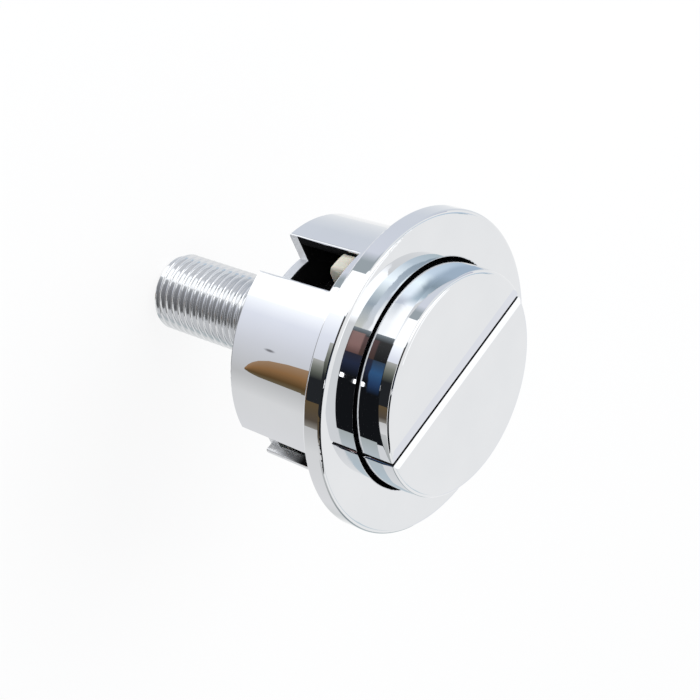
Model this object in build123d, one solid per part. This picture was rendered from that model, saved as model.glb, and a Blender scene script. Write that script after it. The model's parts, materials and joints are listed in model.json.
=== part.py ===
from build123d import *
import math
import os

# Push-button actuator for a cistern lid: a flanged, plated housing, two sprung half-moon buttons
# and a threaded stud. Millimetres. The origin is the centre of the flange's underside, where it
# sits on the lid. +Z points out through the button faces. The split between the buttons runs
# along X, with the half-flush button on the +Y side and the full-flush button on the -Y side.

# Flange
flange_diameter = 55.0
flange_thickness = 3.95
rim_front_round = 0.8
rim_back_round = 0.6

# Barrel, a round well with one floor
well_diameter = 39.4
well_lip_round = 0.3
spigot_wall = 2.1
spigot_length = 5.0
barrel_end_wall = 1.7
floor_thickness = 2.0
edge_round = 0.4

# Ports in the barrel: one behind each button, and one on each side at the ends of the split
port_start = 5.7
port_width = 8.3
port_floor_radius = 15.6
side_port_width = 8.7
side_port_depth = 2.0

# Buttons
button_gap = 0.5
button_proud = 6.65
button_travel = 5.5
button_wall = 1.2
button_face = 1.5
button_round = 0.7
button_taper = 0.12
button_taper_height = 2.6
button_corner = 0.5
button_skirt = 0.5
split_offset = 1.75
split_gap = 0.25
half_bevel_width = 2.5
half_bevel_drop = 0.4
full_bevel_width = 1.2
full_bevel_drop = 0.4

# Sliders that carry the buttons
slider_running_gap = 0.4
slider_rim = 1.6
slider_plug = 2.6
plug_gap = 0.1
hook_width = 3.5
hook_side_gap = 0.4
hook_height = 3.8
hook_bite = 1.2
hook_lead_in = 0.8
hook_rest_gap = 0.1
hook_floor_gap = 1.0

# Return springs, and the pegs that centre them
spring_wire = 0.7
spring_wire_sides = 5
spring_diameter = 6.0
spring_angle = 35.6
spring_wall_gap = 2.2
spring_end_gap = 0.05
spring_pitch = 2.9
peg_gap = 0.4
peg_length = 3.0
peg_lead_in = 0.4

# Screws that hold each button on its slider
screw_diameter = 2.2
screw_grip = 5.0
screw_head_diameter = 4.2
screw_head_height = 1.3
screw_spacing = 10.0
screw_row = 9.0
screw_gap = 0.03
screw_post_wall = 1.5
counterbore_gap = 0.2

# Threaded stud, with the neck, washer and lock nut that clamp it to the floor
stud_diameter = 14.0
stud_reach = 32.1
thread_pitch = 1.5
thread_depth = 0.92
thread_crest = 0.2
stud_end_chamfer = 1.0
stud_neck_diameter = 12.0
stud_neck_chamfer = 0.6
stud_inner_proud = 0.8
stud_gap = 0.05
nut_across_flats = 19.0
nut_height = 4.0
nut_chamfer = 0.6
washer_diameter = 20.0
washer_thickness = 1.2
press_clearance = 4.9

# Radii
flange_radius = flange_diameter / 2
well_radius = well_diameter / 2
spigot_radius = well_radius + spigot_wall
barrel_end_radius = well_radius + barrel_end_wall
button_radius = well_radius - button_gap
slider_radius = well_radius - slider_running_gap
spring_radius = spring_diameter / 2
coil_radius = spring_radius - spring_wire / 2
peg_radius = spring_radius - spring_wire - peg_gap
spring_reach = well_radius - spring_wall_gap - spring_radius
screw_radius = screw_diameter / 2
stud_radius = stud_diameter / 2
neck_radius = stud_neck_diameter / 2

# Heights. The floor lies deep enough to leave room for the pressed sliders over the stud, nut and washer.
face_z = flange_thickness + button_proud
skirt_z = -button_skirt
slider_z = skirt_z - slider_rim
plug_z = skirt_z + slider_plug
stud_top_z = slider_z - button_travel - press_clearance
nut_z = stud_top_z - stud_inner_proud - nut_height
washer_z = nut_z - washer_thickness
floor_z = washer_z
barrel_end_z = floor_z - floor_thickness
stud_end_z = barrel_end_z - stud_reach
port_z = -port_start

# Far enough to cut right through the part, and where turned faces close on themselves
beyond = 2 * flange_diameter
seam_angle = -60


def block(x_min, x_max, y_min, y_max, z_min, z_max):
    """A block between two corners."""
    size = (x_max - x_min, y_max - y_min, z_max - z_min)
    centre = ((x_min + x_max) / 2, (y_min + y_max) / 2, (z_min + z_max) / 2)
    return Pos(*centre) * Box(*size)


def rod(radius, z_min, z_max):
    """A round bar on the Z axis."""
    return Pos(0, 0, (z_min + z_max) / 2) * Cylinder(radius, z_max - z_min)


def section(*points):
    """A closed outline of (radius, height) points in the XZ plane."""
    return make_face(Polyline(*[(r, 0, z) for r, z in points], close=True))


def rounded(outline, radius, point):
    """An outline with the corner nearest to (radius, height) rounded."""
    corner = outline.vertices().sort_by_distance(Vector(point[0], 0, point[1]))[0]
    return fillet(corner, radius)


def turned(outline):
    """The ring that an outline sweeps round the Z axis, with its seam clear of the ports."""
    return Rot(0, 0, seam_angle) * revolve(outline, Axis.Z, 360)


def spring_places(side):
    """The two spring centres under one button."""
    angle = math.radians(spring_angle)
    x = spring_reach * math.cos(angle)
    y = side * spring_reach * math.sin(angle)
    return {"left": (-x, y), "right": (x, y)}


def screw_places(side):
    """The two screw centres under one button."""
    return {"left": (-screw_spacing / 2, side * screw_row), "right": (screw_spacing / 2, side * screw_row)}


def peg(z_root, z_tip):
    """A round spring peg with a tapered tip, standing up or hanging down."""
    shank = rod(peg_radius, min(z_root, z_tip), max(z_root, z_tip))
    tip = shank.edges().filter_by(GeomType.CIRCLE).sort_by_distance(Vector(0, 0, z_tip))[0]
    return chamfer(tip, peg_lead_in)


def outer_edges(barrel):
    """The edges of the barrel's outside below the flange: the rims of its ports and of its open end."""
    inside = well_radius + barrel_end_wall / 2
    return [
        edge
        for edge in barrel.edges()
        if edge.center().Z < port_z + edge_round
        and all(math.hypot(*tuple(edge @ t)[:2]) > inside for t in (0, 0.5, 1))
    ]


def housing():
    """Flange, ported barrel, floor and spring pegs, moulded in one piece."""
    rim = section(
        (well_radius, 0),
        (well_radius, flange_thickness),
        (flange_radius, flange_thickness),
        (flange_radius, 0),
    )
    rim = rounded(rim, rim_front_round, (flange_radius, flange_thickness))
    rim = rounded(rim, rim_back_round, (flange_radius, 0))
    rim = rounded(rim, well_lip_round, (well_radius, flange_thickness))
    wall = section(
        (well_radius, 0),
        (spigot_radius, 0),
        (spigot_radius, -spigot_length),
        (barrel_end_radius, barrel_end_z),
        (well_radius, barrel_end_z),
    )
    barrel = turned(wall) + rod(well_radius, barrel_end_z, floor_z)
    port = block(-port_width / 2, port_width / 2, -beyond, beyond, -beyond, port_z)
    barrel -= port - rod(port_floor_radius, -beyond, port_z)
    for x_min, x_max in ((-beyond, side_port_depth - well_radius), (well_radius - side_port_depth, beyond)):
        barrel -= block(x_min, x_max, -side_port_width, 0, -beyond, port_z)
    barrel = fillet(outer_edges(barrel), edge_round)
    body = turned(rim) + barrel - rod(neck_radius + stud_gap, barrel_end_z, floor_z)
    for side in (1, -1):
        for x, y in spring_places(side).values():
            body += Pos(x, y, 0) * peg(floor_z, floor_z + peg_length)
    return body


def threaded_stud():
    """A shouldered stud that seats on the barrel's end, with its thread as rings. Its neck passes inside."""
    points = [
        (0, stud_top_z),
        (neck_radius - stud_neck_chamfer, stud_top_z),
        (neck_radius, stud_top_z - stud_neck_chamfer),
        (neck_radius, barrel_end_z),
    ]
    rings = int((stud_reach - stud_end_chamfer) / thread_pitch)
    for ring in range(rings):
        crest_z = barrel_end_z - ring * thread_pitch
        root_z = crest_z - (thread_pitch + thread_crest) / 2
        points += [
            (stud_radius, crest_z),
            (stud_radius, crest_z - thread_crest),
            (stud_radius - thread_depth, root_z),
        ]
    points += [
        (stud_radius, barrel_end_z - rings * thread_pitch),
        (stud_radius, stud_end_z + stud_end_chamfer),
        (stud_radius - stud_end_chamfer, stud_end_z),
        (0, stud_end_z),
    ]
    return turned(section(*points))


def stud_washer():
    """A flat washer on the barrel's floor."""
    ring = rod(washer_diameter / 2, washer_z, nut_z)
    return ring - rod(neck_radius + stud_gap, washer_z, nut_z)


def stud_nut():
    """A thin lock nut inside the barrel, with its corners chamfered above."""
    corner_radius = nut_across_flats / 2 / math.cos(math.pi / 6)
    nut = Pos(0, 0, nut_z) * extrude(RegularPolygon(corner_radius, 6), nut_height)
    cone = section(
        (0, nut_z),
        (corner_radius, nut_z),
        (corner_radius, nut_z + nut_height - nut_chamfer),
        (nut_across_flats / 2 - nut_chamfer, nut_z + nut_height),
        (0, nut_z + nut_height),
    )
    nut &= turned(cone)
    return nut - rod(neck_radius + stud_gap, nut_z, nut_z + nut_height)


def split_edge(side):
    """The Y of one button's straight edge."""
    return split_offset + side * split_gap / 2


def half_moon(radius, inset, side, corner=0):
    """A disc cut off at the split, with its straight edge set in and its two corners rounded."""
    y_edge = split_edge(side) + side * inset
    cut = Pos(0, y_edge + side * beyond / 2) * Rectangle(beyond, beyond)
    outline = Circle(radius) & cut
    return fillet(outline.vertices(), corner) if corner else outline


def button_cap(side, bevel_width, bevel_drop):
    """One plated button: a hollow half-moon with a tapered rim, a bevelled split edge and screw posts."""
    profile = section(
        (0, skirt_z),
        (button_radius, skirt_z),
        (button_radius, face_z - button_taper_height),
        (button_radius - button_taper, face_z),
        (0, face_z),
    )
    profile = rounded(profile, button_round, (button_radius - button_taper, face_z))
    outline = half_moon(button_radius, 0, side, button_corner)
    cap = turned(profile) & Pos(0, 0, skirt_z) * extrude(outline, face_z - skirt_z)
    y_edge = split_edge(side)
    bevel = Plane.YZ * make_face(
        Polyline(
            (y_edge + side * bevel_width, face_z),
            (y_edge, face_z - bevel_drop),
            (y_edge, face_z),
            close=True,
        )
    )
    cap -= Pos(-beyond / 2, 0, 0) * extrude(bevel, beyond)
    hollow = half_moon(button_radius - button_wall, button_wall, side)
    cap -= Pos(0, 0, skirt_z) * extrude(hollow, face_z - button_face - skirt_z)
    post = rod(screw_radius + screw_gap + screw_post_wall, plug_z, face_z - button_face)
    pilot = rod(screw_radius + screw_gap, plug_z, plug_z + screw_grip + screw_gap)
    for x, y in screw_places(side).values():
        cap += Pos(x, y, 0) * post
        cap -= Pos(x, y, 0) * pilot
    return cap


def slider(side):
    """The carrier under one button: a plug, a guide rim, a hook to one side of its port, and spring pegs."""
    inset = button_wall + plug_gap
    body = Pos(0, 0, slider_z) * extrude(half_moon(slider_radius, 0, side), slider_rim)
    body += Pos(0, 0, skirt_z) * extrude(half_moon(button_radius - inset, inset, side), slider_plug)
    hook_top = port_z - hook_rest_gap
    hook_end = hook_top - hook_height
    hook = section(
        (port_floor_radius + hook_floor_gap, slider_z),
        (slider_radius, slider_z),
        (slider_radius, hook_top),
        (well_radius + hook_bite, hook_top),
        (well_radius + hook_bite, hook_end + hook_lead_in),
        (slider_radius, hook_end),
        (port_floor_radius + hook_floor_gap, hook_end),
    )
    hook_edge = port_width / 2 - hook_side_gap
    body += turned(hook) & block(hook_edge - hook_width, hook_edge, *sorted((0, side * beyond)), -beyond, 0)
    for x, y in spring_places(side).values():
        body += Pos(x, y, 0) * peg(slider_z, slider_z - peg_length)
    shank_hole = rod(screw_radius + screw_gap, slider_z, plug_z)
    head_hole = rod(
        screw_head_diameter / 2 + counterbore_gap, slider_z, slider_z + screw_head_height + counterbore_gap
    )
    for x, y in screw_places(side).values():
        body -= Pos(x, y, 0) * (shank_hole + head_hole)
    return body


def return_spring(place):
    """A coil spring between the floor and the slider above it, with a few flat sides on its round wire."""
    x, y = place
    z_low = floor_z + spring_end_gap + spring_wire / 2
    z_high = slider_z - spring_end_gap - spring_wire / 2
    turns = max(1, round((z_high - z_low) / spring_pitch))
    path = Helix((z_high - z_low) / turns, z_high - z_low, coil_radius)
    wire = Plane(origin=path @ 0, z_dir=path % 0) * RegularPolygon(spring_wire / 2, spring_wire_sides)
    return Pos(x, y, z_low) * sweep(wire, path, is_frenet=True)


def button_screw(place):
    """A round-headed screw, driven from under the slider into the button's post."""
    x, y = place
    head_z = slider_z + counterbore_gap
    head = rod(screw_head_diameter / 2, head_z, head_z + screw_head_height)
    shank = rod(screw_radius, head_z + screw_head_height, plug_z + screw_grip)
    return Pos(x, y, 0) * (head + shank)


parts = {
    "housing": housing(),
    "threaded_stud": threaded_stud(),
    "stud_washer": stud_washer(),
    "stud_nut": stud_nut(),
    "half_flush_cap": button_cap(1, half_bevel_width, half_bevel_drop),
    "full_flush_cap": button_cap(-1, full_bevel_width, full_bevel_drop),
}
for name, side in (("half_flush", 1), ("full_flush", -1)):
    parts[name + "_slider"] = slider(side)
    for hand, place in spring_places(side).items():
        parts[f"{name}_spring_{hand}"] = return_spring(place)
    for hand, place in screw_places(side).items():
        parts[f"{name}_screw_{hand}"] = button_screw(place)

os.makedirs("parts", exist_ok=True)
for name, solid in parts.items():
    export_step(solid, f"parts/{name}.step")
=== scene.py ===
import json
import math

import bmesh
import bpy
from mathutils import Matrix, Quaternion, Vector

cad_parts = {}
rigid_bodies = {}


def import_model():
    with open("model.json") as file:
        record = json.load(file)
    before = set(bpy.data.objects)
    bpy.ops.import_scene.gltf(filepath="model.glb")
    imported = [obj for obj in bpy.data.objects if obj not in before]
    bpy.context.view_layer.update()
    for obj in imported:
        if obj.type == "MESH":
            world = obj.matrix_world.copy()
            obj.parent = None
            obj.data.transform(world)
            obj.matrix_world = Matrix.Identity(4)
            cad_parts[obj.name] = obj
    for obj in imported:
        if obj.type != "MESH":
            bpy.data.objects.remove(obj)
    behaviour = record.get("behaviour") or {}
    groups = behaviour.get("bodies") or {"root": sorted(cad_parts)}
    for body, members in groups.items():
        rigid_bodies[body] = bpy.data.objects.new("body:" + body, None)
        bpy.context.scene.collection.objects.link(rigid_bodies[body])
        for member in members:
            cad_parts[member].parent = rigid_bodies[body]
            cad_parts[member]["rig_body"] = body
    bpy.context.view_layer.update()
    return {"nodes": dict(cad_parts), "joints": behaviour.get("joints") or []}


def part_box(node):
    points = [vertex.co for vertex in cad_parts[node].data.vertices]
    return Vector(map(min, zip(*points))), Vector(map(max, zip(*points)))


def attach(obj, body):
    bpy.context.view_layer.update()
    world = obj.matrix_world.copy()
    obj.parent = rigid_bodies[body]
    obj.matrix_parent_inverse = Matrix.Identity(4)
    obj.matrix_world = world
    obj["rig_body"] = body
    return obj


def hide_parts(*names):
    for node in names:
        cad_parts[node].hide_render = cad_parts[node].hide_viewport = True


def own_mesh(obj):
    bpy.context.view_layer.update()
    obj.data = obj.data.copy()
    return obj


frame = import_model()

# A push-button actuator for a cistern lid, in metres and in the part's own frame. +Z runs out
# through the button faces, and the flange's underside lies at height 0.
mm = 0.001

# Where the photograph was taken from
view_azimuth = math.radians(121.417)
view_elevation = math.radians(34.8)
view_roll = math.radians(108.682)
view_target = Vector((-3.353, 4.811, -8.422)) * mm
view_distance = 295.913 * mm
view_lens = 92.571
view_sensor = 36.0
view_near = 10 * mm

# Stud thread, M14 by 1.5, with the flats of its crests and roots as shares of the pitch
stud_low, stud_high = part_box("threaded_stud")
thread_pitch = 1.5 * mm
thread_depth = 0.92 * mm
thread_sides = 96
thread_rows = 16
neck_rows = 4
crest_flat = 1 / 16
root_flat = 1 / 8
stud_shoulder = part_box("housing")[0].z
stud_lead_in = 1.0 * mm
neck_radius = 6.0 * mm
neck_chamfer = 0.6 * mm

# Housing, from its flange down to its floor
housing_low, housing_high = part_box("housing")
front_round = 0.8 * mm
back_round = 0.6 * mm
spigot_radius = 21.8 * mm
spigot_end = -5.0 * mm
barrel_end_radius = 21.4 * mm
port_top = -5.7 * mm
well_floor = housing_low.z + 2.0 * mm

# Where the housing is painted near-black as painted shade, for the shade in its recesses: under the lip of
# the well and inside the ports, apart from their edges.
# The painted shade fades out in the two side ports, which lie nearer the split than port_row.
well_lip = housing_high.z - 0.14 * mm
shaded_well_radius = 19.9 * mm
satin_radius = 21.25 * mm
full_shade_radius = 17.5 * mm
shade_fade = (-16.5 * mm, -12.5 * mm)
port_row = 12 * mm
port_edge = 0.3 * mm
painted_shade_black = (0.012, 0.012, 0.013, 1.0)

# How the solids' names tell the two buttons apart, and the two springs and screws under each
flushes = ("half_flush", "full_flush")
hands = ("left", "right")

# Buttons: the taper and the round of their rims, then the split between them: its middle, how far its sides
# painted near-black as shade reach, and how the shells ease back from it
button_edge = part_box("full_flush_cap")[1].x
button_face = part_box("full_flush_cap")[1].z
button_taper = 0.12 * mm
button_taper_height = 2.6 * mm
button_round = 0.7 * mm
split_middle = (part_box("half_flush_cap")[0].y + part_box("full_flush_cap")[1].y) / 2
split_reach = 0.3 * mm
split_foot = button_face - 0.45 * mm
split_ease = 0.14 * mm
split_corner = 0.5 * mm

# A small mark on the barrel, a shallow groove whose shade is painted as a grey stroke: its place and its
# half sizes
mark = {
    "Location": (-14.89 * mm, 15.64 * mm, -12.5 * mm),
    "Scale": (0.32 * mm, 0.32 * mm, 1.5 * mm),
}
mark_shade_grey = (0.24, 0.24, 0.25, 1.0)

# Return springs
spring_wire = 0.7 * mm
spring_pitch = 2.9 * mm
spring_steps = 40
wire_sides = 12

# Button screws, with a cross recess in the head
screw_pitch = 0.75 * mm
screw_thread_depth = 0.25 * mm
screw_diameter = 2.2 * mm
screw_head_height = 1.3 * mm
screw_head_sides = 48
screw_dome = 2.4 * mm
recess_length = 2.4 * mm
recess_width = 0.55 * mm
recess_depth = 0.7 * mm

# Copies of the moulded pieces: how near points are merged, past which angles edges stay sharp, and how
# closely a face has to follow its turned profile, inside a zone with some slack, to take its normals
weld_distance = 0.002 * mm
crease_angle = math.radians(32)
bevel_crease = math.radians(14)
same_surface = 0.985
edge_slack = 0.03 * mm

# Studio: its floor and lamp, and the cards that mirrors show, by their distance, heights and strength
floor_reach = 3.0
floor_glow = 0.85
softbox_place = Vector((0.3, 0.25, 0.5))
softbox_size = 0.5
softbox_power = 2.0
white = (1.0, 1.0, 1.0, 1.0)
pure = (1.0, 1.0, 1.0)
ground = stud_low.z
near_cards = 45 * mm
near_top = 4 * mm
far_cards = 200 * mm
far_top = 150 * mm
sill = 122.3 * mm
head_blend = (0.75, 0.89)
floor_card = ground + 0.2 * mm
floor_card_bore = 6.5 * mm
floor_card_edge = 43 * mm
card_steps = 48
window_glow = 1.35
lamp_glow = 4.0


class Wire:
    """A node socket that can stand in an expression: each operator adds a Math node to its tree."""

    def __init__(self, socket):
        self.socket = socket

    def node(self, kind, settings=None, sockets=None, output=None):
        """Adds a node, with its settings first and then its sockets' values or links. Gives one output."""
        made = self.socket.id_data.nodes.new(kind)
        for name, value in (settings or {}).items():
            if name == "stops":
                set_stops(made.color_ramp, value)
            elif name == "items":
                for _ in range(value - len(made.index_switch_items)):
                    made.index_switch_items.new()
            else:
                setattr(made, name, value)
        for name, value in (sockets or {}).items():
            plug(pick(made.inputs, name), value)
        return Wire(pick(made.outputs, output))

    def out(self, name):
        """Another output of the same node."""
        return Wire(pick(self.socket.node.outputs, name))

    def math(self, operation, *values):
        """Adds a Math node on numbers or wires."""
        return self.node("ShaderNodeMath", {"operation": operation}, dict(enumerate(values)))

    def __add__(self, other):
        return self.math("ADD", self, other)

    __radd__ = __add__

    def __sub__(self, other):
        return self.math("SUBTRACT", self, other)

    def __rsub__(self, other):
        return self.math("SUBTRACT", other, self)

    def __mul__(self, other):
        return self.math("MULTIPLY", self, other)

    __rmul__ = __mul__

    def __truediv__(self, other):
        return self.math("DIVIDE", self, other)

    def __rtruediv__(self, other):
        return self.math("DIVIDE", other, self)

    def __pow__(self, other):
        return self.math("POWER", self, other)

    def __gt__(self, other):
        return self.math("GREATER_THAN", self, other)

    def __abs__(self):
        return self.math("ABSOLUTE", self)


def pick(sockets, name):
    """The socket in use that has a name or a place in the row, or the first one."""
    usable = [socket for socket in sockets if socket.enabled]
    if isinstance(name, str):
        return next(socket for socket in usable if socket.name == name)
    return usable[name or 0]


def plug(socket, value):
    """Gives a socket a link or a value."""
    if isinstance(value, (list, tuple)) and value and isinstance(value[0], Wire):
        for wire in value:
            socket.id_data.links.new(wire.socket, socket)
    elif isinstance(value, Wire):
        socket.id_data.links.new(value.socket, socket)
    else:
        socket.default_value = value


def set_stops(ramp, stops):
    """Sets a colour ramp's stops from (place, colour) pairs."""
    while len(ramp.elements) < len(stops):
        ramp.elements.new(1.0)
    while len(ramp.elements) > len(stops):
        ramp.elements.remove(ramp.elements[-1])
    for element, (place, colour) in zip(ramp.elements, stops):
        element.position = place
        element.color = colour


def mix(factor, first, second):
    """A colour between two colours."""
    return factor.node(
        "ShaderNodeMix", {"data_type": "RGBA"}, {"Factor": factor, "A": first, "B": second}
    )


def noise(place, scale, detail=2.0, stretch=None):
    """Soft grain from 0 to 1 over a place, which may be stretched along its axes."""
    if stretch:
        place = place.node("ShaderNodeMapping", {}, {"Vector": place, "Scale": stretch})
    return place.node("ShaderNodeTexNoise", {}, {"Vector": place, "Scale": scale, "Detail": detail})


def larger(first, second):
    """The larger of two values."""
    return first.math("MAXIMUM", first, second)


def band(value, low, high):
    """0 below one value, 1 above another, and smooth between them."""
    return value.node(
        "ShaderNodeMapRange",
        {"interpolation_type": "SMOOTHSTEP"},
        {"Value": value, "From Min": low, "From Max": high},
    )


# Materials


def surface(name, fixed):
    """A new material with fixed values on its shader. Gives it, its shader and its object coordinates."""
    material = bpy.data.materials.new(name)
    material.use_nodes = True
    shader = material.node_tree.nodes["Principled BSDF"]
    for socket, value in fixed.items():
        shader.inputs[socket].default_value = value
    place = Wire(shader.outputs[0]).node("ShaderNodeTexCoord", output="Object")
    return material, shader, place


def paint(shader, sockets):
    """Feeds what varies over the surface into a shader."""
    for name, wire in sockets.items():
        plug(shader.inputs[name], wire)


def bumped(height, strength, distance):
    """A normal that follows a height."""
    sockets = {"Height": height, "Strength": strength, "Distance": distance}
    return height.node("ShaderNodeBump", {}, sockets)


def bare_well(place):
    """The part of the housing's well and ports that is painted near-black as shade, and the whole of them.
    """
    axes = place.node("ShaderNodeSeparateXYZ", {}, {0: place})
    along, across, height = axes.out("X"), axes.out("Y"), axes.out("Z")
    reach = (along * along + across * across) ** 0.5
    well = (height > well_floor - edge_slack) * (1 - (height > well_lip)) * (1 - (reach > shaded_well_radius))
    sides = (height > housing_low.z + edge_slack) * (1 - (height > port_top + edge_slack))
    within = larger(well, sides * (1 - (reach > satin_radius)))
    deep = (height > well_floor - port_edge) * larger(abs(across) > port_row, 1 - (reach > full_shade_radius))
    return within * larger(deep, band(height, *shade_fade)), within


def bare_split(place):
    """The straight sides of the buttons, which face each other across the split, painted near-black as
    shade.
    """
    axes = place.node("ShaderNodeSeparateXYZ", {}, {0: place})
    side = 1 - (abs(axes.out("Y") - split_middle) > split_reach)
    deep = side * (1 - (axes.out("Z") > split_foot))
    return deep, deep


def barrel_mark(place):
    """1 in the small mark on the barrel, where a grey stroke of painted shade goes, and 0 off it."""
    offset = place.node("ShaderNodeMapping", {"vector_type": "TEXTURE"}, {"Vector": place, **mark})
    distance = offset.node("ShaderNodeVectorMath", {"operation": "LENGTH"}, {0: offset})
    return band(distance, 1.0, 0.2)


def bright_chrome(name, shade_places, mark_shade=None):
    """Bright chrome on moulded plastic, faintly hazed, wiped and wavy.

    It paints some places near-black as painted shade, makes some satin, and may paint a grey stroke of
    painted shade.
    """
    material, shader, place = surface(name, {"Specular IOR Level": 0.0})
    cloud = noise(place, scale=110.0, detail=3.0)
    wipe = noise(place, scale=500.0, detail=2.0, stretch=(1.0, 0.25, 4.0))
    wave = noise(place, scale=140.0, detail=1.0)
    haze = band(cloud, 0.5, 0.85)
    plate = mix(cloud, (0.74, 0.755, 0.775, 1.0), (0.80, 0.81, 0.825, 1.0))
    # Painted shade: a grey stroke stands in for the shade in the barrel's small groove.
    if mark_shade:
        plate = mix(mark_shade(place), plate, mark_shade_grey)
    painted_shade, satin = shade_places(place)
    paint(
        shader,
        {
            # Painted shade: near-black colour, not metal, where the mask says, in the well, the ports and
            # the split.
            "Base Color": mix(painted_shade, plate, painted_shade_black),
            "Metallic": 1 - painted_shade,
            "Roughness": 0.015 + 0.03 * haze + 0.02 * band(wipe, 0.6, 0.9) + 0.4 * satin,
            "Normal": bumped(wave, strength=0.012, distance=0.1 * mm),
        },
    )
    return material


def satin_nickel():
    """Satin nickel on a rolled thread, with turned streaks."""
    material, shader, place = surface("satin_nickel", {"Metallic": 1.0})
    grain = noise(place, scale=900.0, detail=3.0, stretch=(1.0, 1.0, 5.0))
    patch = noise(place, scale=160.0, detail=2.0)
    paint(
        shader,
        {
            "Base Color": mix(patch, (0.66, 0.67, 0.685, 1.0), (0.78, 0.79, 0.80, 1.0)),
            "Roughness": 0.09 + 0.08 * grain,
            "Normal": bumped(grain, strength=0.08, distance=0.02 * mm),
        },
    )
    return material


def zinc_plate():
    """Bright zinc on steel, with a faint blue and yellow cast."""
    material, shader, place = surface("zinc_plate", {"Metallic": 1.0})
    cast = noise(place, scale=220.0, detail=2.0)
    grain = noise(place, scale=1500.0, detail=2.0)
    paint(
        shader,
        {
            "Base Color": mix(cast, (0.60, 0.64, 0.70, 1.0), (0.72, 0.70, 0.64, 1.0)),
            "Roughness": 0.22 + 0.14 * grain,
            "Normal": bumped(grain, strength=0.1, distance=0.02 * mm),
        },
    )
    return material


def drawn_wire():
    """Stainless spring wire with fine drawing marks."""
    material, shader, place = surface("drawn_wire", {"Metallic": 1.0})
    marks = noise(place, scale=2200.0, detail=2.0, stretch=(1.0, 1.0, 0.3))
    paint(
        shader,
        {
            "Base Color": mix(marks, (0.46, 0.47, 0.48, 1.0), (0.66, 0.67, 0.68, 1.0)),
            "Roughness": 0.2 + 0.18 * marks,
        },
    )
    return material


def natural_acetal():
    """Cream moulded acetal, slightly mottled, with a soft sheen."""
    fixed = {"Subsurface Weight": 0.15, "Subsurface Scale": 1.0 * mm}
    material, shader, place = surface("natural_acetal", fixed)
    flow = noise(place, scale=180.0, detail=2.0)
    grain = noise(place, scale=3000.0, detail=1.0)
    paint(
        shader,
        {
            "Base Color": mix(flow, (0.70, 0.66, 0.54, 1.0), (0.80, 0.77, 0.67, 1.0)),
            "Roughness": 0.38 + 0.14 * grain,
            "Normal": bumped(grain, strength=0.12, distance=0.02 * mm),
        },
    )
    return material


# Geometry trees


def new_tree(name, inputs):
    """A geometry tree with named inputs. Gives it and a wire for each input."""
    tree = bpy.data.node_groups.new(name, "GeometryNodeTree")
    tree.interface.new_socket("Geometry", in_out="OUTPUT", socket_type="NodeSocketGeometry")
    for label, kind in inputs.items():
        tree.interface.new_socket(label, in_out="INPUT", socket_type="NodeSocket" + kind)
    entry = tree.nodes.new("NodeGroupInput")
    return tree, {label: Wire(entry.outputs[label]) for label in inputs}


def close_tree(shape, material):
    """Ends a tree: copies become real faces, all in one material."""
    tree = shape.socket.id_data
    real = shape.node("GeometryNodeRealizeInstances", {}, {"Geometry": shape})
    painted = real.node("GeometryNodeSetMaterial", {}, {"Geometry": real, "Material": material})
    plug(tree.nodes.new("NodeGroupOutput").inputs[0], painted)


def choose(index, values):
    """One of several numbers, by its place in the row."""
    return index.node(
        "GeometryNodeIndexSwitch",
        {"data_type": "FLOAT", "items": len(values)},
        {"Index": index, **{str(place): value for place, value in enumerate(values)}},
    )


def thread_tree():
    """A threaded bar that stands on its tip: a rolled thread up to a shoulder, then a plain neck."""
    tree, given = new_tree(
        "rolled_thread",
        {
            "Radius": "Float",
            "Depth": "Float",
            "Pitch": "Float",
            "Foot": "Float",
            "Shoulder": "Float",
            "Lead In": "Float",
            "Neck Radius": "Float",
            "Neck Chamfer": "Float",
            "Top": "Float",
            "Material": "Material",
        },
    )
    radius, foot, shoulder = given["Radius"], given["Foot"], given["Shoulder"]
    pitches = (shoulder - foot) / given["Pitch"]
    turns = pitches.math("CEIL", pitches) + 1
    last = turns * thread_rows
    rows = last + (neck_rows + 2)
    grid = radius.node(
        "GeometryNodeMeshGrid",
        {},
        {"Size X": 1.0, "Size Y": 1.0, "Vertices X": thread_sides + 1, "Vertices Y": rows},
    )
    flat = grid.node("ShaderNodeSeparateXYZ", {}, {0: grid.node("GeometryNodeInputPosition")})
    turn = flat.out("X") + 0.5
    line = (flat.out("Y") + 0.5) * (rows - 1)
    row = line.math("ROUND", line)
    wound = row.node("ShaderNodeClamp", {}, {"Value": row - 1, "Min": 0.0, "Max": last}) / thread_rows
    free = foot + given["Pitch"] * (wound + turn - 1)
    height = free.node("ShaderNodeClamp", {}, {"Value": free, "Min": foot, "Max": shoulder})
    from_root = abs(wound.math("FRACT", wound) - 0.5)
    crest = band(from_root, root_flat / 2, 0.5 - crest_flat / 2)
    cut = crest * (1 - (free > shoulder))
    wall = radius - given["Depth"] * (1 - cut)
    tapered = wall.math("MINIMUM", wall, radius - given["Lead In"] + height - foot)
    threaded = tapered * row.math("MINIMUM", row, 1.0)
    above = row - last - 1
    stage = above.node("ShaderNodeClamp", {}, {"Value": above, "Min": 0.0, "Max": float(neck_rows)})
    neck, chamfer, top = given["Neck Radius"], given["Neck Chamfer"], given["Top"]
    reach = choose(stage, [threaded, neck, neck, neck - chamfer, 0.0])
    level = choose(stage, [height, shoulder, top - chamfer, top, top])
    angle = turn * math.tau
    spot = reach.node(
        "ShaderNodeCombineXYZ",
        {},
        {"X": reach * angle.math("COSINE", angle), "Y": reach * angle.math("SINE", angle), "Z": level},
    )
    shape = grid.node("GeometryNodeSetPosition", {}, {"Geometry": grid, "Position": spot})
    shape = shape.node("GeometryNodeMergeByDistance", {}, {"Geometry": shape, "Distance": weld_distance})
    close_tree(shape, given["Material"])
    return tree


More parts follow.
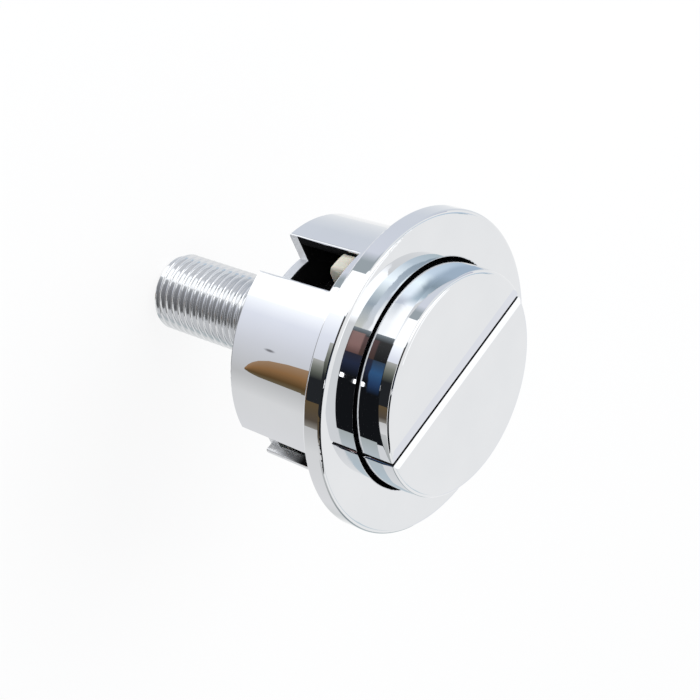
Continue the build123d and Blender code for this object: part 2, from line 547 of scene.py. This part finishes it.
def spring_tree():
    """A compression spring with a closed turn at each end."""
    tree, given = new_tree(
        "return_spring",
        {
            "Coil Radius": "Float",
            "Wire": "Float",
            "Turns": "Float",
            "Foot": "Float",
            "Head": "Float",
            "Centre X": "Float",
            "Centre Y": "Float",
            "Material": "Material",
        },
    )
    wire, turns = given["Wire"], given["Turns"]
    coil = wire.node(
        "GeometryNodeCurveSpiral",
        {},
        {
            "Resolution": spring_steps,
            "Rotations": turns,
            "Start Radius": given["Coil Radius"],
            "End Radius": given["Coil Radius"],
            "Height": 0.0,
        },
    )
    wound = coil.node("GeometryNodeSplineParameter", output="Factor") * turns
    low = given["Foot"] + wire / 2
    rise = given["Head"] - given["Foot"] - 3 * wire

    def climb(start, end, step):
        """How far the wire has climbed of a step that it takes between two turns."""
        return wound.node(
            "ShaderNodeMapRange", {}, {"Value": wound, "From Min": start, "From Max": end, "To Max": step}
        )

    height = low + climb(0.0, 1.0, wire) + climb(1.0, turns - 1, rise) + climb(turns - 1, turns, wire)
    here = coil.node("ShaderNodeSeparateXYZ", {}, {0: coil.node("GeometryNodeInputPosition")})
    spot = here.node(
        "ShaderNodeCombineXYZ",
        {},
        {"X": here.out("X") + given["Centre X"], "Y": here.out("Y") + given["Centre Y"], "Z": height},
    )
    path = coil.node("GeometryNodeSetPosition", {}, {"Geometry": coil, "Position": spot})
    ring = path.node(
        "GeometryNodeCurvePrimitiveCircle",
        {"mode": "RADIUS"},
        {"Resolution": wire_sides, "Radius": wire / 2},
    )
    tube = path.node(
        "GeometryNodeCurveToMesh", {}, {"Curve": path, "Profile Curve": ring, "Fill Caps": True}
    )
    close_tree(tube, given["Material"])
    return tree


def screw_tree(thread):
    """Two screws, heads down, each a domed head with a cross recess on a threaded shank."""
    tree, given = new_tree(
        "button_screws",
        {
            "Head Radius": "Float",
            "Head Foot": "Float",
            "Tip": "Float",
            "Spacing": "Float",
            "Row": "Float",
            "Material": "Material",
        },
    )
    foot, tip = given["Head Foot"], given["Tip"]
    under_head = foot + screw_head_height
    shank = foot.node(
        "GeometryNodeGroup",
        {"node_tree": thread},
        {
            "Radius": screw_diameter / 2,
            "Depth": screw_thread_depth,
            "Pitch": screw_pitch,
            "Foot": -1 * tip,
            "Shoulder": -1 * under_head,
            "Lead In": screw_thread_depth,
            "Neck Radius": screw_diameter / 2 - screw_thread_depth,
            "Neck Chamfer": screw_thread_depth,
            "Top": -1 * (under_head - screw_thread_depth),
            "Material": given["Material"],
        },
    )
    shank = shank.node("GeometryNodeTransform", {}, {"Geometry": shank, "Rotation": (math.pi, 0.0, 0.0)})
    drum = foot.node(
        "GeometryNodeMeshCylinder",
        {},
        {"Vertices": screw_head_sides, "Radius": given["Head Radius"], "Depth": screw_head_height},
        "Mesh",
    )
    ball = foot.node(
        "GeometryNodeMeshUVSphere",
        {},
        {"Segments": screw_head_sides, "Rings": screw_head_sides // 2, "Radius": screw_dome},
        "Mesh",
    )
    ball = lifted(ball, screw_dome - screw_head_height / 2)
    head = boolean("INTERSECT", [drum, ball])
    for size in ((recess_length, recess_width, recess_depth), (recess_width, recess_length, recess_depth)):
        slot = foot.node("GeometryNodeMeshCube", {}, {"Size": size}, "Mesh")
        head = boolean("DIFFERENCE", [lifted(slot, (recess_depth - screw_head_height) / 2)], head)
    head = lifted(head, foot + screw_head_height / 2)
    whole = head.node("GeometryNodeJoinGeometry", {}, {"Geometry": [shank, head]})
    spacing = given["Spacing"]
    ends = foot.node("GeometryNodeMeshLine", {"mode": "OFFSET"}, {"Count": 2, "Offset": spread(spacing)})
    shift = spread(spacing / -2, given["Row"])
    ends = ends.node("GeometryNodeTransform", {}, {"Geometry": ends, "Translation": shift})
    pair = ends.node("GeometryNodeInstanceOnPoints", {}, {"Points": ends, "Instance": whole})
    close_tree(pair, given["Material"])
    return tree


def spread(x, y=0.0):
    """A shift along X and Y."""
    return x.node("ShaderNodeCombineXYZ", {}, {"X": x, "Y": y})


def lifted(shape, height):
    """A shape moved along Z."""
    shift = shape.node("ShaderNodeCombineXYZ", {}, {"Z": height})
    return shape.node("GeometryNodeTransform", {}, {"Geometry": shape, "Translation": shift})


def boolean(operation, shapes, base=None):
    """What is left of a base, or of several shapes, after cutting or crossing."""
    sockets = {0: shapes} if base is None else {"Mesh 1": base, "Mesh 2": shapes}
    return shapes[0].node("GeometryNodeMeshBoolean", {"operation": operation}, sockets, "Mesh")


# Pieces


def settled(piece):
    """Turns what a piece's modifiers make into its plain mesh."""
    evaluated = piece.evaluated_get(bpy.context.evaluated_depsgraph_get())
    mesh = bpy.data.meshes.new_from_object(evaluated)
    piece.modifiers.clear()
    piece.data = mesh
    return piece


def grown(name, tree, values):
    """The plain mesh object that a geometry tree makes from the values of its inputs."""
    piece = bpy.data.objects.new(name, bpy.data.meshes.new(name))
    bpy.context.collection.objects.link(piece)
    modifier = piece.modifiers.new(name, "NODES")
    modifier.node_group = tree
    for item in tree.interface.items_tree:
        if item.in_out == "INPUT":
            modifier[item.identifier] = values[item.name]
    return settled(piece)


def merged_copy(name, node, material):
    """A copy of a solid's mesh with its loose triangles joined."""
    mesh = frame["nodes"][node].data.copy()
    mesh.name = name
    mesh.materials.clear()
    mesh.materials.append(material)
    joined = bmesh.new()
    joined.from_mesh(mesh)
    bmesh.ops.remove_doubles(joined, verts=joined.verts, dist=weld_distance)
    joined.to_mesh(mesh)
    joined.free()
    piece = bpy.data.objects.new(name, mesh)
    bpy.context.collection.objects.link(piece)
    return piece


def smoothed(piece, crease=crease_angle):
    """Shades a piece smooth up to its creases, with its flat faces kept flat."""
    piece.data.shade_smooth()
    piece.data.set_sharp_from_angle(angle=crease)
    modifier = piece.modifiers.new("flat_faces", "WEIGHTED_NORMAL")
    modifier.keep_sharp = True
    return settled(piece)


def turned_normals(piece, zones):
    """Gives turned faces the exact normals of their profile.

    Each zone is a box of radius and height, with its normal's lean or with the centre of its arc.
    """
    mesh = piece.data
    normals = [corner.vector.copy() for corner in mesh.corner_normals]
    for face in mesh.polygons:
        reach = math.hypot(face.center.x, face.center.y)
        for (inner, low), (outer, high), lean, centre in zones:
            if not (inner < reach < outer and low < face.center.z < high):
                continue
            for corner in face.loop_indices:
                spot = mesh.vertices[mesh.loops[corner].vertex_index].co
                outward = Vector((spot.x, spot.y, 0))
                out, up = (outward.length - centre[0], spot.z - centre[1]) if centre else lean
                exact = (outward.normalized() * out + Vector((0, 0, up))).normalized()
                if exact.dot(face.normal) > same_surface:
                    normals[corner] = exact
    mesh.normals_split_custom_set(normals)
    return piece


def housing_zones():
    """The turned outside of the housing: face, rim, its two rounds, underside, spigot and barrel."""
    edge, face = housing_high.x, housing_high.z
    front = (edge - front_round, face - front_round)
    back = (edge - back_round, back_round)
    far = edge + edge_slack
    barrel_slope = (barrel_end_radius - spigot_radius) / (spigot_end - housing_low.z)
    return [
        ((shaded_well_radius, face - edge_slack), (front[0], face + edge_slack), (0.0, 1.0), None),
        ((back[0], back[1]), (far, front[1]), (1.0, 0.0), None),
        (front, (far, face), None, front),
        ((back[0], 0.0), (far, back[1]), None, back),
        ((spigot_radius, -edge_slack), (back[0], edge_slack), (0.0, -1.0), None),
        ((satin_radius, spigot_end), (spigot_radius, 0.0), (1.0, 0.0), None),
        ((satin_radius, housing_low.z), (spigot_radius, spigot_end), (1.0, barrel_slope), None),
    ]


def button_zones(node):
    """The turned outside of a button: wall, taper and round."""
    low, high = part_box(node)
    slope = button_taper / button_taper_height
    start = high.z - button_taper_height
    centre_z = high.z - button_round
    centre = (button_edge - slope * (centre_z - start) - button_round * math.hypot(1.0, slope), centre_z)
    inner, far = button_edge - 2 * button_taper, button_edge + edge_slack
    return [
        ((inner, low.z), (far, start), (1.0, 0.0), None),
        ((inner, start), (far, centre_z), (1.0, slope), None),
        ((centre[0], centre_z), (far, high.z), None, centre),
    ]


def eased(piece, node):
    """Sets a button's straight edge back a little, so that the split reads as a dark line."""
    low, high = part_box(node)
    side, edge = (1, low.y) if node.startswith("half") else (-1, high.y)
    for vertex in piece.data.vertices:
        depth = abs(vertex.co.y - edge)
        vertex.co.y += side * split_ease * max(0.0, 1 - depth / split_corner)
    return piece


def stands_for(piece, slot, *nodes):
    """Seats a piece on the body of the solids that it replaces."""
    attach(piece, frame["nodes"][nodes[0]]["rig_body"])
    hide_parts(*nodes)


def moulded_pieces():
    """Chromed housing and buttons, and the sliders under them."""
    finish = bright_chrome("polished_housing_chrome", bare_well, barrel_mark)
    housing = smoothed(merged_copy("chromed_housing", "housing", finish))
    stands_for(turned_normals(housing, housing_zones()), "housing_chrome", "housing")
    button_finish = bright_chrome("polished_button_chrome", bare_split)
    acetal = natural_acetal()
    for flush in flushes:
        node = flush + "_cap"
        shell = eased(merged_copy(flush + "_button_shell", node, button_finish), node)
        shell = smoothed(shell, bevel_crease)
        stands_for(turned_normals(shell, button_zones(node)), "button_chrome", node)
        carrier = merged_copy(flush + "_carrier", flush + "_slider", acetal)
        stands_for(smoothed(carrier), "slider_plastic", flush + "_slider")


def stud_pieces(thread, zinc):
    """The threaded stud, with the washer and lock nut that clamp it."""
    stud = grown(
        "rolled_thread_stud",
        thread,
        {
            "Radius": stud_high.x,
            "Depth": thread_depth,
            "Pitch": thread_pitch,
            "Foot": stud_low.z,
            "Shoulder": stud_shoulder,
            "Lead In": stud_lead_in,
            "Neck Radius": neck_radius,
            "Neck Chamfer": neck_chamfer,
            "Top": stud_high.z,
            "Material": satin_nickel(),
        },
    )
    stands_for(smoothed(stud), "stud_metal", "threaded_stud")
    for name, node in (("clamp_washer", "stud_washer"), ("clamp_nut", "stud_nut")):
        stands_for(smoothed(merged_copy(name, node, zinc)), "fastener_steel", node)


def springs():
    """Two return springs under each button."""
    tree = spring_tree()
    wire_finish = drawn_wire()
    for flush in flushes:
        for hand in hands:
            node = f"{flush}_spring_{hand}"
            low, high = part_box(node)
            coil = grown(
                f"{flush}_coil_{hand}",
                tree,
                {
                    "Coil Radius": (high.x - low.x - spring_wire) / 2,
                    "Wire": spring_wire,
                    "Turns": round((high.z - low.z) / spring_pitch) + 1.0,
                    "Foot": low.z,
                    "Head": high.z,
                    "Centre X": (low.x + high.x) / 2,
                    "Centre Y": (low.y + high.y) / 2,
                    "Material": wire_finish,
                },
            )
            stands_for(smoothed(coil), "spring_steel", node)
            press = next(joint for joint in frame["joints"] if joint["name"] == flush + "_press")
            keep = 1 - press["range_m"][1] / (high.z - low.z)
            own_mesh(coil)


def screws(thread, zinc):
    """Two screws from each slider into its button."""
    tree = screw_tree(thread)
    for flush in flushes:
        nodes = [f"{flush}_screw_{hand}" for hand in hands]
        low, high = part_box(nodes[1])
        pair = grown(
            flush + "_fixing_screws",
            tree,
            {
                "Head Radius": (high.x - low.x) / 2,
                "Head Foot": low.z,
                "Tip": high.z,
                "Spacing": low.x + high.x,
                "Row": (low.y + high.y) / 2,
                "Material": zinc,
            },
        )
        stands_for(smoothed(pair), "fastener_steel", *nodes)


# Studio


def seen_directly(shader):
    """1 for what the camera, a mirror or glass shows, and 0 for what only lights the object."""
    ray = shader.node("ShaderNodeLightPath", output="Is Camera Ray")
    return larger(larger(ray, ray.out("Is Glossy Ray")), ray.out("Is Transmission Ray"))


def pale_floor():
    """A plain white floor under the stud, which keeps the object's shadow."""
    bpy.ops.mesh.primitive_plane_add(size=2 * floor_reach, location=(0, 0, ground))
    floor = bpy.context.object
    floor.name = "pale_floor"
    matt = {"Base Color": (0.9, 0.9, 0.9, 1.0), "Roughness": 0.9, "Specular IOR Level": 0.0}
    material, shader, _ = surface("pale_floor", matt)
    lit = Wire(shader.outputs[0])
    glow = lit.node("ShaderNodeEmission", {}, {"Color": white, "Strength": 1.0})
    both = lit.node("ShaderNodeMixShader", {}, {0: seen_directly(lit) * floor_glow, 1: lit, 2: glow})
    plug(material.node_tree.nodes["Material Output"].inputs["Surface"], both)
    floor.data.materials.append(material)


def card(name, distance, span, levels, tints, strength=1.0, foot=None, head_tints=None):
    """A curved card that only mirrors show, between two azimuths and two heights. Its tints run along it.

    Its foot may have a distance and a span of its own, and its head tints of its own.
    """
    ends = (foot or (distance, span), (distance, span))
    points, along, rise = [], [], []
    for step in range(card_steps + 1):
        share = step / card_steps
        for end, (reach, (start, stop)) in enumerate(ends):
            angle = math.radians(start + (stop - start) * share)
            points.append((reach * math.cos(angle), reach * math.sin(angle), levels[end]))
            along.append(share)
            rise.append(end)
    faces = [(2 * step, 2 * step + 2, 2 * step + 3, 2 * step + 1) for step in range(card_steps)]
    mesh = bpy.data.meshes.new(name)
    mesh.from_pydata(points, [], faces)
    for label, values in (("along", along), ("rise", rise)):
        mesh.attributes.new(label, "FLOAT", "POINT").data.foreach_set("value", values)
    material = bpy.data.materials.new(name)
    material.use_nodes = True
    tree = material.node_tree
    root = Wire(tree.nodes["Principled BSDF"].outputs[0])
    place = root.node("ShaderNodeAttribute", {"attribute_name": "along"}, output="Fac")
    height = root.node("ShaderNodeAttribute", {"attribute_name": "rise"}, output="Fac")
    tint = tinted(place, tints)
    if head_tints:
        tint = mix(band(height, *head_blend), tint, tinted(place, head_tints))
    glow = place.node("ShaderNodeEmission", {}, {"Color": tint, "Strength": strength})
    plug(tree.nodes["Material Output"].inputs["Surface"], glow)
    mesh.materials.append(material)
    piece = bpy.data.objects.new(name, mesh)
    bpy.context.collection.objects.link(piece)
    for ray in ("camera", "diffuse", "transmission", "shadow", "volume_scatter"):
        setattr(piece, "visible_" + ray, False)


def tinted(place, tints):
    """A colour that runs through tints, each at its share of the way."""
    return place.node("ShaderNodeValToRGB", {"stops": [(at, (*rgb, 1.0)) for at, rgb in tints]}, {0: place})


def barrel_cards():
    """What the barrel mirrors: a window, a pale wall in shade, a cool wall and a brown leaf."""
    card("window_card", near_cards, (86, 109), (ground, 14 * mm), [(0.0, pure)], window_glow)
    shaded = [
        (0.0, (0.92, 0.94, 0.98)),
        (0.07, (0.68, 0.70, 0.77)),
        (0.19, (0.56, 0.57, 0.61)),
        (0.35, (0.45, 0.45, 0.45)),
        (0.45, (0.61, 0.61, 0.61)),
        (0.7, (0.62, 0.62, 0.63)),
        (0.8, (0.55, 0.56, 0.56)),
        (1.0, (0.82, 0.82, 0.82)),
    ]
    card("shaded_wall", near_cards, (109, 262), (ground, near_top), shaded, window_glow)
    cool = [
        (0.0, (0.90, 0.92, 0.94)),
        (0.4, (0.74, 0.78, 0.85)),
        (0.85, (0.78, 0.81, 0.90)),
        (0.92, (0.40, 0.45, 0.48)),
    ]
    card("cool_card", near_cards, (0, 86), (ground, near_top), cool)
    bark = [
        (0.0, (0.40, 0.26, 0.16)),
        (0.4, (0.31, 0.165, 0.07)),
        (0.78, (0.12, 0.07, 0.028)),
        (1.0, (0.16, 0.13, 0.08)),
    ]
    leaf = near_cards - 1 * mm
    widths = [
        (-37.5, (158.5, 159.5)),
        (-36.5, (155, 160.5)),
        (-35.5, (152.5, 161)),
        (-34, (150, 161.5)),
        (-31.5, (147.5, 161.5)),
        (-27, (145.5, 161.5)),
        (-19, (144, 161.5)),
    ]
    for (low, narrow), (high, wide) in zip(widths, widths[1:]):
        card("bark_leaf", leaf, wide, (low * mm, high * mm), bark, foot=(leaf, narrow))


def rim_cards():
    """What the flange's rim mirrors: black and umber flags, and a slate strip for its front edge."""
    side = (-19 * mm, -9 * mm)
    lip = (-9 * mm, near_top)
    flag = near_cards - 1 * mm
    ink = [
        (0.0, (0.50, 0.50, 0.48)),
        (0.15, (0.26, 0.27, 0.24)),
        (0.3, (0.12, 0.13, 0.11)),
        (0.45, (0.02, 0.022, 0.025)),
    ]
    umber = [(0.0, (0.13, 0.09, 0.045)), (0.7, (0.10, 0.08, 0.06)), (1.0, (0.30, 0.28, 0.25))]
    slate = [
        (0.0, (0.62, 0.63, 0.63)),
        (0.3, (0.45, 0.47, 0.47)),
        (0.5, (0.30, 0.34, 0.36)),
        (0.7, (0.52, 0.58, 0.60)),
    ]
    card("rim_flag", flag, (131, 151), side, ink)
    card("rim_umber", flag, (151, 164), side, umber)
    card("lip_flag", flag, (122, 155), lip, ink)
    card("lip_umber", flag, (155, 168), lip, umber)
    card("lip_slate", flag, (178, 256), lip, slate)


def stud_cards():
    """What the stud mirrors: cards that lie on the floor round it, one bright, one dark and two pale."""
    pale = [(0.0, (0.76, 0.77, 0.80)), (0.5, (0.86, 0.87, 0.91)), (0.8, (1.00, 1.01, 1.04))]
    shade = [
        (0.0, (0.75, 0.76, 0.78)),
        (0.11, (0.54, 0.55, 0.57)),
        (0.26, (0.40, 0.40, 0.42)),
        (0.5, (0.29, 0.29, 0.30)),
        (0.86, (0.15, 0.15, 0.15)),
        (1.0, (0.20, 0.20, 0.20)),
    ]
    sides = [
        ("stud_sky", (-40, 75), pale, 1.0),
        ("stud_window", (75, 106), [(0.0, pure)], 2.0),
        ("stud_flag", (106, 178), shade, 1.0),
        ("stud_table", (178, 284), [(0.0, (0.96, 0.96, 0.97))], 1.0),
    ]
    flat = (floor_card, floor_card)
    for name, span, tints, strength in sides:
        card(name, floor_card_edge, span, flat, tints, strength, foot=(floor_card_bore, span))


def button_cards():
    """What the buttons and the flange's face mirror: layers of sky, a dark flag with strips, grey walls."""
    low_layer = (100 * mm, 128.5 * mm)
    middle_layer = (128.5 * mm, 131.5 * mm)
    high_layer = (131.5 * mm, 138 * mm)
    strips = far_cards - 4 * mm
    lamps = far_cards - 6 * mm
    dark = (0.01, 0.011, 0.013)
    low_sky = [
        (0.0, (0.52, 0.65, 0.80)),
        (0.5, (0.55, 0.68, 0.82)),
        (0.73, (0.38, 0.48, 0.56)),
        (0.9, (0.66, 0.80, 0.90)),
        (1.0, (1.50, 1.55, 1.60)),
    ]
    lit_sky = [
        (0.0, (0.60, 0.75, 0.90)),
        (0.5, (0.90, 1.05, 1.20)),
        (0.68, (1.40, 1.55, 1.60)),
        (0.87, (1.30, 1.40, 1.50)),
        (0.96, (0.85, 0.90, 1.00)),
    ]
    foot = (far_cards, (-30, 63))
    card("sky_wall", far_cards, (-30, 67), low_layer, low_sky, foot=foot, head_tints=lit_sky)
    frame_sky = [
        (0.0, (0.30, 0.38, 0.42)),
        (0.4, (0.45, 0.55, 0.64)),
        (0.8, (0.85, 0.93, 1.02)),
        (1.0, pure),
    ]
    card("sky_frame", far_cards, (-40, 101), middle_layer, frame_sky)
    high_sky = [
        (0.0, (0.55, 0.66, 0.70)),
        (0.35, (0.75, 0.87, 0.97)),
        (0.6, (1.50, 1.60, 1.65)),
        (0.72, (0.85, 0.95, 1.00)),
        (0.82, (0.50, 0.58, 0.65)),
        (1.0, (0.85, 0.85, 0.78)),
    ]
    card("high_sky", far_cards, (-40, 101), high_layer, high_sky, head_tints=[(0.0, pure)])
    low_window = [(0.0, (1.6, 1.6, 1.65)), (0.2, (1.7, 1.7, 1.7))]
    lit_window = [(0.0, (1.0, 1.05, 1.1)), (0.6, (1.5, 1.5, 1.5))]
    foot = (far_cards, (63, 101))
    card("upper_window", far_cards, (67, 101), low_layer, low_window, foot=foot, head_tints=lit_window)
    roof = [(0.0, pure), (0.25, (1.7, 1.7, 1.7)), (0.9, (1.7, 1.7, 1.7)), (1.0, pure)]
    card("roof_window", far_cards, (14, 98), (155 * mm, 330 * mm), roof)
    horizon = [(0.0, (0.55, 0.56, 0.70)), (0.5, (0.75, 0.83, 0.92)), (1.0, pure)]
    card("horizon_card", far_cards, (5, 62), (-45 * mm, 36 * mm), horizon)
    night = [(0.0, (0.30, 0.34, 0.37)), (0.06, (0.06, 0.06, 0.06)), (0.3, dark)]
    card("dark_flag", far_cards, (101, 203), (near_top, far_top), night)
    warm = [(0.0, (0.16, 0.10, 0.10)), (1.0, (0.10, 0.06, 0.05))]
    card("warm_strip", strips, (107, 125), (sill, 126 * mm), warm)
    rust = [(0.0, (0.40, 0.25, 0.23)), (0.6, (0.38, 0.22, 0.20)), (1.0, (0.18, 0.10, 0.09))]
    card("rust_strip", strips, (105, 125), (126 * mm, 132 * mm), rust)
    blue = [
        (0.0, (0.05, 0.08, 0.13)),
        (0.35, (0.05, 0.14, 0.31)),
        (0.7, (0.03, 0.07, 0.17)),
        (1.0, dark),
    ]
    card("blue_strip", strips, (125, 156), (105 * mm, sill), blue)
    dim_blue = [(0.0, (0.04, 0.04, 0.06)), (0.4, (0.03, 0.04, 0.08)), (1.0, dark)]
    card("dim_blue_strip", strips, (125, 146), (sill, far_top), dim_blue)
    card("wall_lamp", lamps, (147.5, 151.5), (122.4 * mm, 123.8 * mm), [(0.0, pure)], lamp_glow)
    card("flange_lamp", lamps, (145.5, 149.5), (128.8 * mm, 130.4 * mm), [(0.0, pure)], lamp_glow)
    card("slim_lamp", lamps, (144, 149), (45 * mm, 90 * mm), [(0.0, pure)], 1.3)
    grey = [
        (0.0, (0.58, 0.63, 0.62)),
        (0.2, (0.69, 0.75, 0.77)),
        (0.6, (0.66, 0.76, 0.82)),
        (1.0, (0.68, 0.77, 0.82)),
    ]
    card("grey_wall", far_cards, (203, 286), (114 * mm, 134.5 * mm), grey)
    card("top_window", 90 * mm, (-60, 10), (115 * mm, 260 * mm), [(0.0, pure)], 1.3)
    card("lilac_card", far_cards, (-80, -45), (25 * mm, 90 * mm), [(0.0, (0.90, 0.91, 0.96))])


def studio_world():
    """Soft light from all round, white where it is seen."""
    world = bpy.data.worlds.new("studio")
    bpy.context.scene.world = world
    world.use_nodes = True
    tree = world.node_tree
    soft = tree.nodes["Background"]
    soft.inputs["Color"].default_value = (0.8, 0.81, 0.83, 1.0)
    lit = Wire(soft.outputs[0])
    clear = lit.node("ShaderNodeBackground", {}, {"Color": white, "Strength": 1.0})
    both = lit.node("ShaderNodeMixShader", {}, {0: seen_directly(lit), 1: lit, 2: clear})
    plug(tree.nodes["World Output"].inputs["Surface"], both)


def softbox():
    """One large soft lamp above the buttons, which mirrors don't show."""
    lamp = bpy.data.lights.new("softbox", "AREA")
    lamp.shape = "RECTANGLE"
    lamp.size = softbox_size
    lamp.size_y = softbox_size
    lamp.energy = softbox_power
    holder = bpy.data.objects.new("softbox", lamp)
    holder.visible_glossy = False
    bpy.context.collection.objects.link(holder)
    holder.location = softbox_place
    holder.rotation_mode = "QUATERNION"
    holder.rotation_quaternion = softbox_place.to_track_quat("Z", "Y")


def photo_camera():
    """The camera at the photograph's angle."""
    back = Vector(
        (
            math.cos(view_azimuth) * math.cos(view_elevation),
            math.sin(view_azimuth) * math.cos(view_elevation),
            math.sin(view_elevation),
        )
    )
    lens = bpy.data.cameras.new("photo_camera")
    lens.sensor_width = view_sensor
    lens.lens = view_lens
    lens.clip_start = view_near
    camera = bpy.data.objects.new("photo_camera", lens)
    bpy.context.collection.objects.link(camera)
    camera.location = view_target + back * view_distance
    camera.rotation_mode = "QUATERNION"
    camera.rotation_quaternion = back.to_track_quat("Z", "Y") @ Quaternion((0, 0, 1), view_roll)
    bpy.context.scene.camera = camera


def build():
    """Makes the part's pieces, then the studio round them."""
    thread = thread_tree()
    zinc = zinc_plate()
    moulded_pieces()
    stud_pieces(thread, zinc)
    springs()
    screws(thread, zinc)
    pale_floor()
    barrel_cards()
    rim_cards()
    stud_cards()
    button_cards()
    studio_world()
    softbox()
    photo_camera()
    bpy.context.scene.view_settings.view_transform = "Standard"


build()
